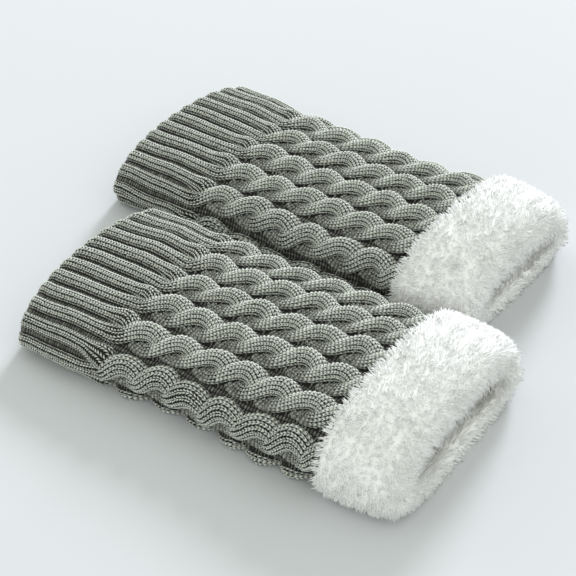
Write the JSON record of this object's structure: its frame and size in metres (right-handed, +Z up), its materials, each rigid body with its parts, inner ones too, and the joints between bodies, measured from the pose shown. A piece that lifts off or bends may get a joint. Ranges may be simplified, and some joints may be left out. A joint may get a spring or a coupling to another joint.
{
  "type": "pair of cable-knit leg warmers with plush cuffs",
  "caption": "Pair of short cable-knit leg warmers lying flat side by side, each an open tube with a ribbed band at one end and a turned-out plush cuff at the other.",
  "frame": {"origin": "middle of the pair's bounding box, on the surface that it lies on", "axes": "+Z up from that surface; +X along the front leg warmer, from its ribbed end to its plush mouth; +Y across, from the front leg warmer to the rear one"},
  "size_m": [0.2722, 0.2485, 0.047],
  "materials": {
    "knit": "heather grey acrylic cable knit, soft sheen",
    "plush_lining": "white short-pile plush",
    "plush_cuff": "white long-pile plush"
  },
  "bodies": {
    "root": {"knit_tube_front": "knit", "plush_lining_front": "plush_lining", "plush_cuff_front": "plush_cuff", "knit_tube_rear": "knit", "plush_lining_rear": "plush_lining", "plush_cuff_rear": "plush_cuff"}
  },
  "joints": []
}
